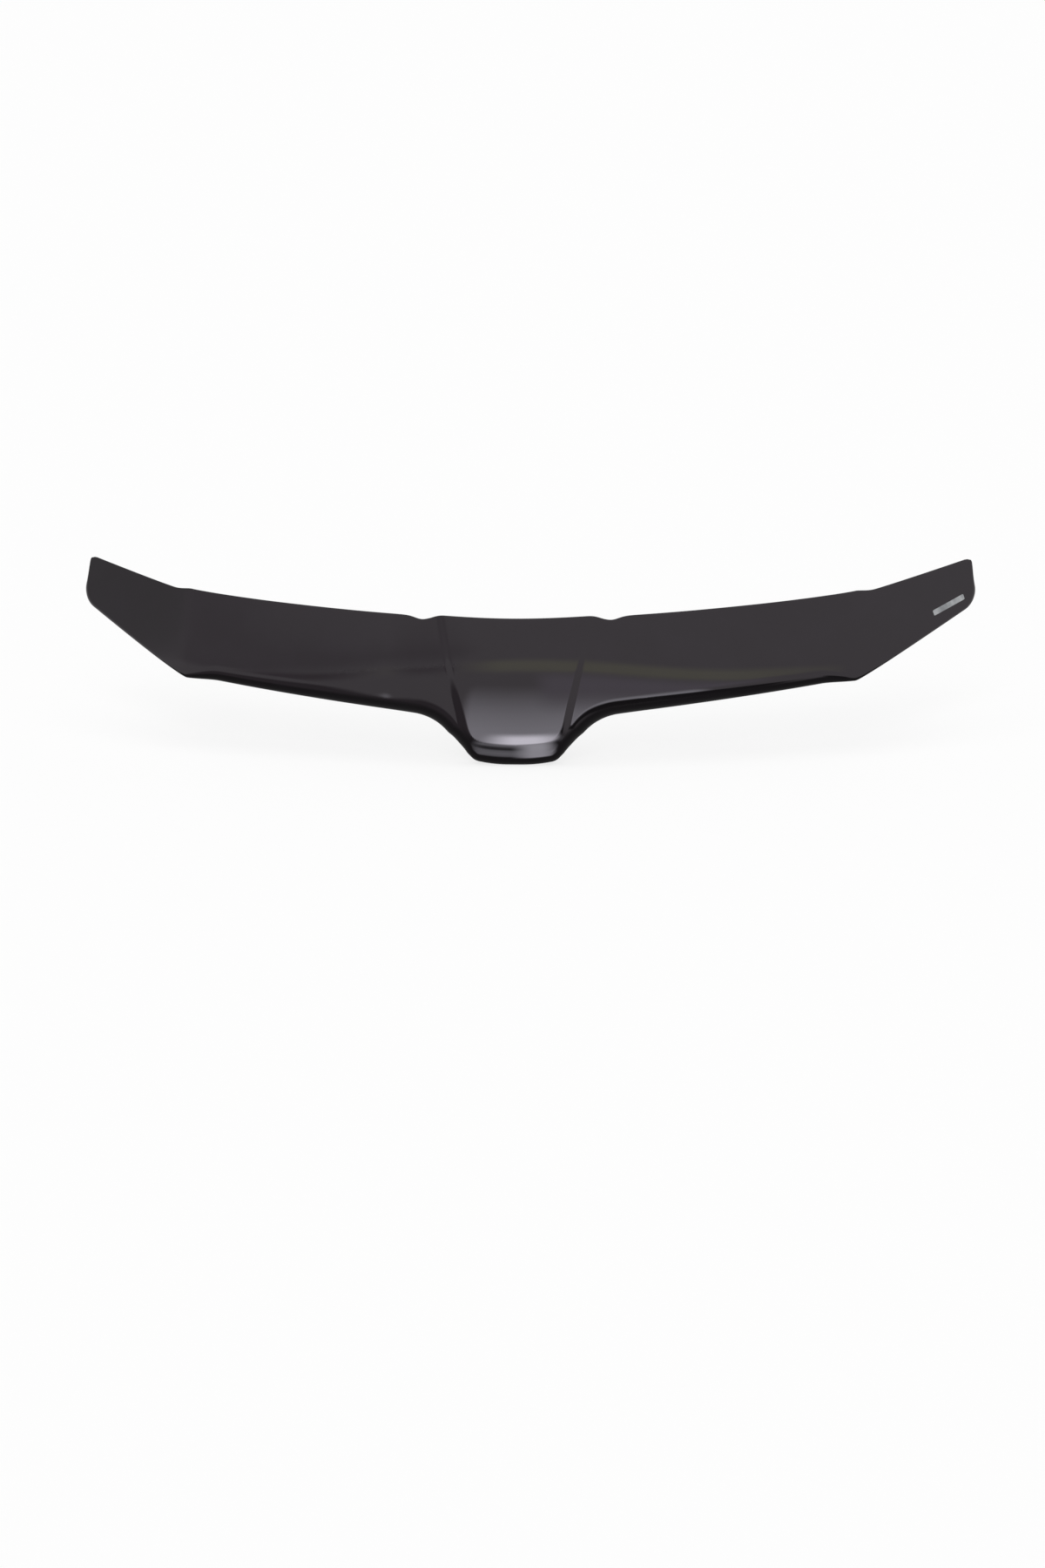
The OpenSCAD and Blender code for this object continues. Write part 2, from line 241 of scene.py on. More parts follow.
# One section of the sheet as a closed loop. Each point is a place on the front view, and how far it
# then lies along the face towards the edge (roll), straight back (back) and into the sheet (lift)
def section(place, outward, top, roll, flange, plain, reach):
    s = sheet
    wall, half = s["wall"], s["wall"] / 2
    low = place - roll * outward
    upward = Vector((topEdge(top.x - 1) - topEdge(top.x + 1), 2)).normalized()  # square to the edge
    loop = []
    for k in range(s["faceRows"] + 1):
        loop.append((low.lerp(top, k / s["faceRows"]), outward, 0, 0, 0))
    topRound = s["edgeRound"] * reach / half
    for k in range(1, s["edgeRows"]):
        t = math.pi * k / s["edgeRows"]
        loop.append((top, upward, topRound * math.sin(t), 0, half * (1 - math.cos(t))))
    for k in range(s["innerRows"], -1, -1):
        loop.append((low.lerp(top, k / s["innerRows"]), outward, 0, 0, wall))
    arc = [math.pi / 2 * k / s["rollRows"] for k in range(1, s["rollRows"] + 1)]
    outer = [(roll * math.sin(a), roll * (1 - math.cos(a)), 0) for a in arc]
    inner = [((roll - wall) * math.sin(a), (roll - wall) * (1 - math.cos(a)), wall) for a in arc]
    lengths = [flange * k / s["flangeRows"] for k in range(1, s["flangeRows"] + 1)]
    outer += [(roll, roll + length, 0) for length in lengths]
    inner += [(roll - wall, roll - wall + length, wall) for length in lengths]
    edge = []
    for k in range(1, s["edgeRows"]):
        t = math.pi * k / s["edgeRows"]
        a, b, c = [mix(p, q, (1 - math.cos(t)) / 2) for p, q in zip(outer[-1], inner[-1])]
        edge.append((a, b + s["edgeRound"] * math.sin(t), c))
    path = outer + edge + inner[::-1]
    for q, (a, b, c) in reversed(list(enumerate(path, start=1))):
        t = math.pi * q / (len(path) + 1)
        loop.append((low, outward, mix(a, reach * math.sin(t), plain), mix(b, 0, plain),
                     mix(c, half * (1 - math.cos(t)), plain)))
    return loop


def halfLoops():
    line, marks, topEnd = lowerLine()
    travelled = [0.0]
    for a, b in zip(line, line[1:]):
        travelled.append(travelled[-1] + (b - a).length)
    f, o, s = faceSizes, outline, sheet
    noseAt, shoulderAt, foldAt, tipAt = (travelled[marks[i]] for i in (2, 3, 4, 5))
    # which place on the top edge belongs to a place on the lower line
    topTable = [(0, 0), (noseAt, f["Panel half"] + o["noseSpread"]),
                (shoulderAt, f["Panel top half"] + o["shoulderSpread"]),
                (foldAt, f["Fold half"] + o["topStepAfterFold"]),
                (tipAt, o["tipHalf"] - o["tipEndLean"] - o["tipSpread"]), (travelled[-1], topEnd.x)]
    loops = []
    for i, place in enumerate(line):
        along = (line[min(i + 1, len(line) - 1)] - line[max(i - 1, 0)]).normalized()
        outward = Vector((0, -1)) if i == 0 else Vector((along.y, -along.x))
        t = travelled[i]
        toWing = ease((t - noseAt) / (shoulderAt - noseAt))
        toHem = ease((t - foldAt + s["hemLead"]) / s["hemChange"])
        plain = ease((t - tipAt - s["plainAfter"]) / s["plainChange"])
        ending = ease((t - travelled[-1] + s["endChange"]) / s["endChange"])
        reach = mix(s["wall"] / 2, s["endRound"], ending)
        roll = mix(mix(mix(s["noseRoll"], s["wingRoll"], toWing), s["hemRadius"], toHem), reach, plain)
        flange = mix(mix(s["flange"], s["hemLength"], toHem), 0, plain)
        x = lookup(t, topTable)
        top = topEnd if place is line[-1] else Vector((x, topEdge(x)))
        loops.append(section(place, outward, top, roll, flange, plain, reach))
    return loops, line


# A mesh laid flat on the front view, whose points carry what the tree needs to lift them onto the sheet
def flatNet(name, points, faces):
    mesh = bpy.data.meshes.new(name)
    mesh.from_pydata([(p[0].x, 0, p[0].y) for p in points], [], faces)
    run = mesh.attributes.new("run", "FLOAT_VECTOR", "POINT")
    run.data.foreach_set("vector", [c for p in points for c in (p[1].x, 0, p[1].y)])
    for label, column in (("roll", 2), ("back", 3), ("lift", 4)):
        attribute = mesh.attributes.new(label, "FLOAT", "POINT")
        attribute.data.foreach_set("value", [p[column] for p in points])
    obj = bpy.data.objects.new(name, mesh)
    bpy.context.scene.collection.objects.link(obj)
    return obj


def mirrored(loop):
    return [(Vector((-p.x, p.y)), Vector((-d.x, d.y)), a, b, c) for p, d, a, b, c in loop]


# The rounded change used all over the sheet
def buildSoftRamp():
    tree = newGroup("softRamp", {"T": 0.0, "Softness": 1.0}, {"Ramp": "NodeSocketFloat"})
    given = tree.nodes.new("NodeGroupInput").outputs
    squareT = addNode(tree, "ShaderNodeMath", {"operation": "MULTIPLY"}, {0: given["T"], 1: given["T"]})
    under = addNode(tree, "ShaderNodeMath", {"operation": "MULTIPLY_ADD"},
                    {0: given["Softness"], 1: given["Softness"], 2: squareT})
    root = addNode(tree, "ShaderNodeMath", {"operation": "SQRT"}, {0: under})
    total = addNode(tree, "ShaderNodeMath", {"operation": "ADD"}, {0: given["T"], 1: root})
    ramp = addNode(tree, "ShaderNodeMath", {"operation": "MULTIPLY", 1: 0.5}, {0: total})
    addNode(tree, "NodeGroupOutput", {}, {"Ramp": ramp})
    return tree


# Depth of the face at a place on the front view
def buildFaceDepth(ramp):
    tree = newGroup("faceDepth", {"X": 0.0, "Z": 0.0, **faceSizes}, {"Depth": "NodeSocketFloat"})
    given = tree.nodes.new("NodeGroupInput").outputs
    x = addNode(tree, "ShaderNodeMath", {"operation": "ABSOLUTE"}, {0: given["X"]})
    slope = {}
    for label in ("Tip turn", "Low lean", "Up lean"):
        angle = addNode(tree, "ShaderNodeMath", {"operation": "RADIANS"}, {0: given[label]})
        slope[label] = addNode(tree, "ShaderNodeMath", {"operation": "TANGENT"}, {0: angle})
    # the long bow, the swept tips and the nose
    share = addNode(tree, "ShaderNodeMath", {"operation": "DIVIDE"}, {0: x, 1: given["Fold half"]})
    shareSquare = addNode(tree, "ShaderNodeMath", {"operation": "MULTIPLY"}, {0: share, 1: share})
    nose = addNode(tree, "ShaderNodeMapRange", {"interpolation_type": "SMOOTHSTEP"},
                   {"Value": x, "From Max": given["Nose reach"], "To Max": given["Nose out"]})
    bowed = addNode(tree, "ShaderNodeMath", {"operation": "MULTIPLY_ADD"},
                    {0: shareSquare, 1: given["Bow"], 2: nose})
    pastFold = addNode(tree, "ShaderNodeMath", {"operation": "SUBTRACT"}, {0: x, 1: given["Fold half"]})
    tip = addNode(tree, "GeometryNodeGroup", {"node_tree": ramp},
                  {"T": pastFold, "Softness": given["Corner softness"]})
    swept = addNode(tree, "ShaderNodeMath", {"operation": "MULTIPLY_ADD"},
                    {0: slope["Tip turn"], 1: tip, 2: bowed})
    # the bend, and the lean of the faces below and above it
    bendOut = addNode(tree, "ShaderNodeMath", {"operation": "SUBTRACT"},
                      {0: given["Bend z"], 1: given["Bend drop"]})
    bendZ = addNode(tree, "ShaderNodeMapRange", {"interpolation_type": "SMOOTHSTEP"},
                    {"Value": x, "From Max": given["Bend reach"], "To Min": given["Bend z"],
                     "To Max": bendOut})
    above = addNode(tree, "ShaderNodeMath", {"operation": "SUBTRACT"}, {0: given["Z"], 1: bendZ})
    gain = addNode(tree, "ShaderNodeMath", {"operation": "SUBTRACT"},
                   {0: slope["Up lean"], 1: slope["Low lean"]})
    upper = addNode(tree, "GeometryNodeGroup", {"node_tree": ramp},
                    {"T": above, "Softness": given["Bend softness"]})
    leaned = addNode(tree, "ShaderNodeMath", {"operation": "MULTIPLY_ADD"},
                     {0: slope["Low lean"], 1: above, 2: swept})
    folded = addNode(tree, "ShaderNodeMath", {"operation": "MULTIPLY_ADD"},
                     {0: gain, 1: upper, 2: leaned})
    # the nose curves back towards its lower edge
    under = addNode(tree, "ShaderNodeMapRange", {"To Min": 1.0, "To Max": 0.0},
                    {"Value": given["Z"], "From Max": given["Tuck z"]})
    underSquare = addNode(tree, "ShaderNodeMath", {"operation": "MULTIPLY"}, {0: under, 1: under})
    tucked = addNode(tree, "ShaderNodeMath", {"operation": "MULTIPLY_ADD"},
                     {0: underSquare, 1: given["Tuck"], 2: folded})
    # the raised panel flares above its knee, and its border has round lower corners
    knee = addNode(tree, "ShaderNodeMix", {"data_type": "FLOAT"},
                   {"Factor": given["Panel knee share"], "A": given["Panel low z"], "B": given["Bend z"]})
    aboveKnee = addNode(tree, "ShaderNodeMath", {"operation": "SUBTRACT"}, {0: given["Z"], 1: knee})
    widening = addNode(tree, "GeometryNodeGroup", {"node_tree": ramp},
                       {"T": aboveKnee, "Softness": given["Panel knee softness"]})
    gained = addNode(tree, "ShaderNodeMath", {"operation": "SUBTRACT"},
                     {0: given["Panel top half"], 1: given["Panel half"]})
    rise = addNode(tree, "ShaderNodeMath", {"operation": "SUBTRACT"}, {0: given["Top z"], 1: knee})
    flare = addNode(tree, "ShaderNodeMath", {"operation": "DIVIDE"}, {0: gained, 1: rise})
    borderX = addNode(tree, "ShaderNodeMath", {"operation": "MULTIPLY_ADD"},
                      {0: flare, 1: widening, 2: given["Panel half"]})
    beside = addNode(tree, "ShaderNodeMath", {"operation": "SUBTRACT"}, {0: x, 1: borderX})
    below = addNode(tree, "ShaderNodeMath", {"operation": "SUBTRACT"},
                    {0: given["Panel low z"], 1: given["Z"]})
    excess = addNode(tree, "ShaderNodeMath", {"operation": "SUBTRACT"}, {0: beside, 1: below})
    corner = addNode(tree, "GeometryNodeGroup", {"node_tree": ramp},
                     {"T": excess, "Softness": given["Panel corner"]})
    border = addNode(tree, "ShaderNodeMath", {"operation": "ADD"}, {0: below, 1: corner})
    stepStart, stepEnd = [addNode(tree, "ShaderNodeMath", {"operation": "MULTIPLY", 1: share},
                                  {0: given["Panel step"]}) for share in (-0.5, 0.5)]
    raised = addNode(tree, "ShaderNodeMapRange", {"interpolation_type": "SMOOTHSTEP", "To Max": 0.0},
                     {"Value": border, "From Min": stepStart, "From Max": stepEnd,
                      "To Min": given["Panel raise"]})
    depth = addNode(tree, "ShaderNodeMath", {"operation": "SUBTRACT"}, {0: tucked, 1: raised})
    addNode(tree, "NodeGroupOutput", {}, {"Depth": depth})
    return tree


# The place of a net's point on the sheet, and the direction into the sheet there
def buildOnSheet(depthGroup):
    tree = newGroup("onSheet", faceSizes, {"Position": "NodeSocketVector", "Inward": "NodeSocketVector"})
    given = tree.nodes.new("NodeGroupInput").outputs
    base = tree.nodes.new("GeometryNodeInputPosition")
    run = addNode(tree, "GeometryNodeInputNamedAttribute", {"data_type": "FLOAT_VECTOR", "Name": "run"},
                  {})
    probe = 0.5  # millimetres between the places whose depths are compared
    depth = {}
    for label, offset in (("here", (0, 0, 0)), ("right", (probe, 0, 0)), ("left", (-probe, 0, 0)),
                          ("up", (0, 0, probe)), ("down", (0, 0, -probe)), ("ahead", None)):
        if offset is None:
            place = addNode(tree, "ShaderNodeVectorMath", {"operation": "MULTIPLY_ADD", 1: (probe,) * 3},
                            {0: run, 2: base})
        else:
            place = addNode(tree, "ShaderNodeVectorMath", {"operation": "ADD", 1: offset}, {0: base})
        split = addNode(tree, "ShaderNodeSeparateXYZ", {}, {0: place})
        depth[label] = addNode(tree, "GeometryNodeGroup", {"node_tree": depthGroup},
                               {"X": split.outputs["X"], "Z": split.outputs["Z"],
                                **{size: given[size] for size in faceSizes}})
    across = addNode(tree, "ShaderNodeMath", {"operation": "SUBTRACT"},
                     {0: depth["left"], 1: depth["right"]})
    upright = addNode(tree, "ShaderNodeMath", {"operation": "SUBTRACT"},
                      {0: depth["down"], 1: depth["up"]})
    slopes = addNode(tree, "ShaderNodeCombineXYZ", {"Y": 2 * probe}, {"X": across, "Z": upright})
    inward = addNode(tree, "ShaderNodeVectorMath", {"operation": "NORMALIZE"}, {0: slopes})
    # the direction of the run, lifted onto the face
    gain = addNode(tree, "ShaderNodeMath", {"operation": "SUBTRACT"},
                   {0: depth["ahead"], 1: depth["here"]})
    rise = addNode(tree, "ShaderNodeCombineXYZ", {}, {"Y": gain})
    ahead = addNode(tree, "ShaderNodeVectorMath", {"operation": "MULTIPLY_ADD", 1: (probe,) * 3},
                    {0: run, 2: rise})
    along = addNode(tree, "ShaderNodeVectorMath", {"operation": "NORMALIZE"}, {0: ahead})
    onFace = addNode(tree, "ShaderNodeCombineXYZ", {}, {"Y": depth["here"]})
    place = addNode(tree, "ShaderNodeVectorMath", {"operation": "ADD"}, {0: base, 1: onFace})
    backward = addNode(tree, "ShaderNodeCombineXYZ", {"Y": 1.0}, {})
    for label, direction in (("roll", along), ("back", backward), ("lift", inward)):
        amount = addNode(tree, "GeometryNodeInputNamedAttribute", {"data_type": "FLOAT", "Name": label},
                         {})
        step = addNode(tree, "ShaderNodeVectorMath", {"operation": "SCALE"},
                       {0: direction, "Scale": amount})
        place = addNode(tree, "ShaderNodeVectorMath", {"operation": "ADD"}, {0: place, 1: step})
    addNode(tree, "NodeGroupOutput", {}, {"Position": place, "Inward": inward})
    return tree


onSheet = buildOnSheet(buildFaceDepth(buildSoftRamp()))


# Every piece's tree starts with its net's places on the sheet, and ends as real, painted geometry
def startTree(name, sizes):
    tree = newGroup(name, {"Geometry": "NodeSocketGeometry", **sizes}, {"Geometry": "NodeSocketGeometry"})
    given = tree.nodes.new("NodeGroupInput").outputs
    placing = addNode(tree, "GeometryNodeGroup", {"node_tree": onSheet},
                      {size: given[size] for size in faceSizes})
    return tree, given, placing


def endTree(tree, geometry, material):
    plain = addNode(tree, "GeometryNodeRealizeInstances", {}, {"Geometry": geometry})
    painted = addNode(tree, "GeometryNodeSetMaterial", {"Material": material}, {"Geometry": plain})
    addNode(tree, "NodeGroupOutput", {}, {"Geometry": painted})


# The shield: the net is lifted onto the face, and the screw holes are cut through its flange
def buildShieldTree(material, sizes):
    tree, given, placing = startTree("shieldTree", sizes)
    lifted = addNode(tree, "GeometryNodeSetPosition", {},
                     {"Geometry": given["Geometry"], "Position": placing.outputs["Position"]})
    mark = addNode(tree, "GeometryNodeInputNamedAttribute", {"data_type": "BOOLEAN", "Name": "screwMark"},
                   {})
    parted = addNode(tree, "GeometryNodeSeparateGeometry", {}, {"Geometry": lifted, "Selection": mark})
    centres = addNode(tree, "GeometryNodeMeshToPoints", {}, {"Mesh": parted.outputs["Selection"]})
    radius = addNode(tree, "ShaderNodeMath", {"operation": "MULTIPLY", 1: 0.5},
                     {0: given["Hole diameter"]})
    drill = addNode(tree, "GeometryNodeMeshCylinder", {"Vertices": 48},
                    {"Radius": radius, "Depth": given["Drill length"]})
    drills = addNode(tree, "GeometryNodeInstanceOnPoints", {}, {"Points": centres, "Instance": drill})
    realDrills = addNode(tree, "GeometryNodeRealizeInstances", {}, {"Geometry": drills})
    drilled = addNode(tree, "GeometryNodeMeshBoolean", {"operation": "DIFFERENCE"},
                      {"Mesh 1": parted.outputs["Inverted"], "Mesh 2": realDrills})
    endTree(tree, drilled, material)
    return tree


# Flat goods that are stuck on the sheet
def buildStickerTree(material, sizes):
    tree, given, placing = startTree("stickerTree", sizes)
    lifted = addNode(tree, "GeometryNodeSetPosition", {},
                     {"Geometry": given["Geometry"], "Position": placing.outputs["Position"]})
    endTree(tree, lifted, material)
    return tree


# Bumpers: a turned rubber button on each point, standing on the sheet
def buildBumperTree(material, sizes):
    tree, given, placing = startTree("bumperTree", sizes)
    aim = addNode(tree, "FunctionNodeAlignRotationToVector", {"axis": "Z"},
                  {"Vector": placing.outputs["Inward"]})
    aimed = addNode(tree, "GeometryNodeStoreNamedAttribute",
                    {"data_type": "QUATERNION", "domain": "POINT", "Name": "aim"},
                    {"Geometry": given["Geometry"], "Value": aim})
    lifted = addNode(tree, "GeometryNodeSetPosition", {},
                     {"Geometry": aimed, "Position": placing.outputs["Position"]})
    # the profile is a short line whose swept circle narrows over the bevel
    top = addNode(tree, "ShaderNodeCombineXYZ", {}, {"Z": given["Height"]})
    line = addNode(tree, "GeometryNodeCurvePrimitiveLine", {}, {"End": top})
    fine = addNode(tree, "GeometryNodeResampleCurve", {"Count": 33}, {"Curve": line})
    along = tree.nodes.new("GeometryNodeSplineParameter")
    startBevel = addNode(tree, "ShaderNodeMath", {"operation": "SUBTRACT"},
                         {0: given["Height"], 1: given["Bevel"]})
    past = addNode(tree, "ShaderNodeMath", {"operation": "SUBTRACT"},
                   {0: along.outputs["Length"], 1: startBevel})
    share = addNode(tree, "ShaderNodeMath", {"operation": "DIVIDE", "use_clamp": True},
                    {0: past, 1: given["Bevel"]})
    square = addNode(tree, "ShaderNodeMath", {"operation": "MULTIPLY"}, {0: share, 1: share})
    rest = addNode(tree, "ShaderNodeMath", {"operation": "SUBTRACT", 0: 1.0}, {1: square})
    arc = addNode(tree, "ShaderNodeMath", {"operation": "SQRT"}, {0: rest})
    lost = addNode(tree, "ShaderNodeMath", {"operation": "SUBTRACT", 0: 1.0}, {1: arc})
    narrow = addNode(tree, "ShaderNodeMath", {"operation": "MULTIPLY"}, {0: lost, 1: given["Bevel"]})
    radius = addNode(tree, "ShaderNodeMath", {"operation": "MULTIPLY", 1: 0.5}, {0: given["Diameter"]})
    width = addNode(tree, "ShaderNodeMath", {"operation": "SUBTRACT"}, {0: radius, 1: narrow})
    ring = addNode(tree, "GeometryNodeCurvePrimitiveCircle", {"Resolution": 48, "Radius": 1.0}, {})
    button = addNode(tree, "GeometryNodeCurveToMesh", {"Fill Caps": True},
                     {"Curve": fine, "Profile Curve": ring.outputs["Curve"], "Scale": width})
    points = addNode(tree, "GeometryNodeMeshToPoints", {}, {"Mesh": lifted})
    turned = addNode(tree, "GeometryNodeInputNamedAttribute", {"data_type": "QUATERNION", "Name": "aim"},
                     {})
    placed = addNode(tree, "GeometryNodeInstanceOnPoints", {},
                     {"Points": points, "Instance": button, "Rotation": turned})
    endTree(tree, placed, material)
    return tree


# Runs a tree on a net and returns its result as a plain mesh in metres
def grown(net, tree, values, toFrame, sharpAngle):
    modifier = net.modifiers.new("grow", "NODES")
    modifier.node_group = tree
    for item in tree.interface.items_tree:
        if item.in_out == "INPUT" and item.name in values:
            modifier[item.identifier] = values[item.name]
    evaluated = net.evaluated_get(bpy.context.evaluated_depsgraph_get())
    mesh = bpy.data.meshes.new_from_object(evaluated)
    net.modifiers.remove(modifier)
    if toFrame is not None:
        mesh.transform(toFrame)
    work = bmesh.new()
    work.from_mesh(mesh)
    bmesh.ops.remove_doubles(work, verts=work.verts, dist=1e-7)
    bmesh.ops.recalc_face_normals(work, faces=work.faces)
    work.to_mesh(mesh)
    work.free()
    mesh.shade_smooth()
    mesh.set_sharp_from_angle(angle=math.radians(sharpAngle))
    for name in ("run", "roll", "back", "lift", "screwMark", "aim"):
        if name in mesh.attributes:
            mesh.attributes.remove(mesh.attributes[name])
    net.data = mesh
    return net


def hexColor(code):  # an sRGB hex value as linear numbers
    parts = [int(code[i:i + 2], 16) / 255 for i in (1, 3, 5)]
    return (*[p / 12.92 if p <= 0.04045 else ((p + 0.055) / 1.055) ** 2.4 for p in parts], 1)


def newMaterial(name):
    material = bpy.data.materials.new(name)
    material.use_nodes = True
    tree = material.node_tree
    tree.nodes.clear()
    shader = tree.nodes.new("ShaderNodeBsdfPrincipled")
    output = tree.nodes.new("ShaderNodeOutputMaterial")
    tree.links.new(shader.outputs["BSDF"], output.inputs["Surface"])
    return material, tree, shader


# A base colour between a look's dark and light tones
def mixTones(tree, shader, look, share):
    tone = addNode(tree, "ShaderNodeMix",
                   {"data_type": "RGBA", "A": hexColor(look["dark"]), "B": hexColor(look["light"])},
                   {"Factor": share})
    tree.links.new(tone.outputs["Result"], shader.inputs["Base Color"])


# Black acrylic (PMMA), heated and drawn over a mould: deep black under a clean gloss, with the faint
# waves of the forming and the marks of handling. Sizes are in millimetres
acrylic = {
    "dark": "#0a080a",
    "light": "#121014",  # where dust or a wiping cloth has been
    "reflection": "#fff4fe",
    "smoothest": 0.0315,
    "roughest": 0.072,
    "waveSize": 45.0,
    "waveHeight": 0.05,
    "peelSize": 2.5,
    "peelHeight": 0.0008,
    "smearSize": 60.0,
    "smearHaze": 0.6,
    "scratchWidth": 0.5,  # wider than real hairlines, so that they show
    "scratchLength": 40.0,
    "scratchAngle": 8.0,
    "scratchRoughness": 0.05,
    "speckCell": 6.0,
    "speckHaze": 0.5,
}


def makeAcrylic():
    a = acrylic
    material, tree, shader = newMaterial("blackAcrylic")
    shader.inputs["IOR"].default_value = 1.49
    shader.inputs["Specular Tint"].default_value = hexColor(a["reflection"])
    place = tree.nodes.new("ShaderNodeTexCoord").outputs["Object"]
    # object coordinates are metres, so a pattern of n millimetres has a scale of 1000 / n
    waves = addNode(tree, "ShaderNodeTexNoise", {"Scale": 1000 / a["waveSize"], "Detail": 1.0},
                    {"Vector": place})
    peel = addNode(tree, "ShaderNodeTexNoise", {"Scale": 1000 / a["peelSize"], "Detail": 2.0},
                   {"Vector": place})
    waveBump = addNode(tree, "ShaderNodeBump", {"Distance": a["waveHeight"] / 1000}, {"Height": waves})
    peelBump = addNode(tree, "ShaderNodeBump", {"Distance": a["peelHeight"] / 1000},
                       {"Height": peel, "Normal": waveBump})
    tree.links.new(peelBump.outputs["Normal"], shader.inputs["Normal"])
    # wiping leaves faint smears, and hairlines drawn along the sheet
    smears = addNode(tree, "ShaderNodeTexNoise",
                     {"Scale": 1000 / a["smearSize"], "Detail": 4.0, "Roughness": 0.6}, {"Vector": place})
    fine = 1000 / a["scratchWidth"]
    wiped = addNode(tree, "ShaderNodeMapping",
                    {"Rotation": (0, math.radians(a["scratchAngle"]), 0),
                     "Scale": (1000 / a["scratchLength"], fine, fine)}, {"Vector": place})
    hairs = addNode(tree, "ShaderNodeTexNoise", {"Scale": 1.0, "Detail": 2.0}, {"Vector": wiped})
    hairLines = addNode(tree, "ShaderNodeMapRange",
                        {"From Min": 0.66, "From Max": 0.76, "To Max": a["scratchRoughness"]},
                        {"Value": hairs})
    gloss = addNode(tree, "ShaderNodeMapRange",
                    {"From Min": 0.35, "From Max": 0.75, "To Min": a["smoothest"],
                     "To Max": a["roughest"]}, {"Value": smears})
    rough = addNode(tree, "ShaderNodeMath", {"operation": "ADD"}, {0: gloss, 1: hairLines})
    tree.links.new(rough.outputs[0], shader.inputs["Roughness"])
    # dust specks, about two centimetres apart, and a trace of haze where the cloth has been
    cells = addNode(tree, "ShaderNodeTexVoronoi", {"Scale": 1000 / a["speckCell"], "Randomness": 1.0},
                    {"Vector": place})
    specks = addNode(tree, "ShaderNodeMapRange",
                     {"From Min": 0.03, "From Max": 0.06, "To Min": a["speckHaze"], "To Max": 0.0},
                     {"Value": cells.outputs["Distance"]})
    veil = addNode(tree, "ShaderNodeMapRange",
                   {"From Min": 0.45, "From Max": 0.8, "To Max": a["smearHaze"]}, {"Value": smears})
    dusty = addNode(tree, "ShaderNodeMath", {"operation": "MAXIMUM"}, {0: specks, 1: veil})
    mixTones(tree, shader, a, dusty)
    return material


# Vulcanised rubber, moulded matt: a soft grey-black with a fine grain
rubberLook = {"dark": "#171718", "light": "#232324", "roughness": 0.62, "grainSize": 0.6,
              "grainHeight": 0.06}


def makeRubber():
    look = rubberLook
    material, tree, shader = newMaterial("rubber")
    shader.inputs["IOR"].default_value = 1.52
    shader.inputs["Roughness"].default_value = look["roughness"]
    place = tree.nodes.new("ShaderNodeTexCoord").outputs["Object"]
    grain = addNode(tree, "ShaderNodeTexNoise", {"Scale": 1000 / look["grainSize"], "Detail": 3.0},
                    {"Vector": place})
    mixTones(tree, shader, look, grain)
    bump = addNode(tree, "ShaderNodeBump", {"Distance": look["grainHeight"] / 1000}, {"Height": grain})
    tree.links.new(bump.outputs["Normal"], shader.inputs["Normal"])
    return material


# Closed-cell acrylic foam tape: matt charcoal with small cells on its cut sides
foamLook = {"dark": "#2c2c2e", "light": "#46464a", "roughness": 0.85, "cellSize": 0.7, "cellHeight": 0.1}


def makeFoam():
    look = foamLook
    material, tree, shader = newMaterial("foamTape")
    shader.inputs["Roughness"].default_value = look["roughness"]
    place = tree.nodes.new("ShaderNodeTexCoord").outputs["Object"]
    cells = addNode(tree, "ShaderNodeTexVoronoi", {"Scale": 1000 / look["cellSize"]}, {"Vector": place})
    mixTones(tree, shader, look, cells.outputs["Distance"])
    bump = addNode(tree, "ShaderNodeBump", {"Distance": look["cellHeight"] / 1000},
                   {"Height": cells.outputs["Distance"]})
    tree.links.new(bump.outputs["Normal"], shader.inputs["Normal"])
    return material


# Metallised polyester film with a satin face: dull silver grey with soft clouds, brushed along the strip.
# The brush's scale is in strokes per metre along, across and into the film
filmLook = {"dark": "#85878a", "light": "#a9abad", "cloudSize": 14.0, "smoothest": 0.28, "roughest": 0.5,
            "brushAngle": 21.0, "brushScale": (40.0, 1500.0, 2500.0)}


def makeFilm():
    look = filmLook
    material, tree, shader = newMaterial("silverFilm")
    shader.inputs["Metallic"].default_value = 1.0
    place = tree.nodes.new("ShaderNodeTexCoord").outputs["Object"]
    clouds = addNode(tree, "ShaderNodeTexNoise", {"Scale": 1000 / look["cloudSize"], "Detail": 2.0},
                     {"Vector": place})
    cloudy = addNode(tree, "ShaderNodeMapRange", {"From Min": 0.35, "From Max": 0.65}, {"Value": clouds})
    mixTones(tree, shader, look, cloudy)
    turned = addNode(tree, "ShaderNodeMapping",
                     {"Rotation": (0, math.radians(look["brushAngle"]), 0), "Scale": look["brushScale"]},
                     {"Vector": place})
    brushed = addNode(tree, "ShaderNodeTexNoise", {"Scale": 1.0, "Detail": 2.0}, {"Vector": turned})
    gloss = addNode(tree, "ShaderNodeMapRange", {"To Min": look["smoothest"], "To Max": look["roughest"]},
                    {"Value": brushed})
    tree.links.new(gloss.outputs[0], shader.inputs["Roughness"])
    return material


blackAcrylic, rubber, foamTape, silverFilm = makeAcrylic(), makeRubber(), makeFoam(), makeFilm()
print("materials made")


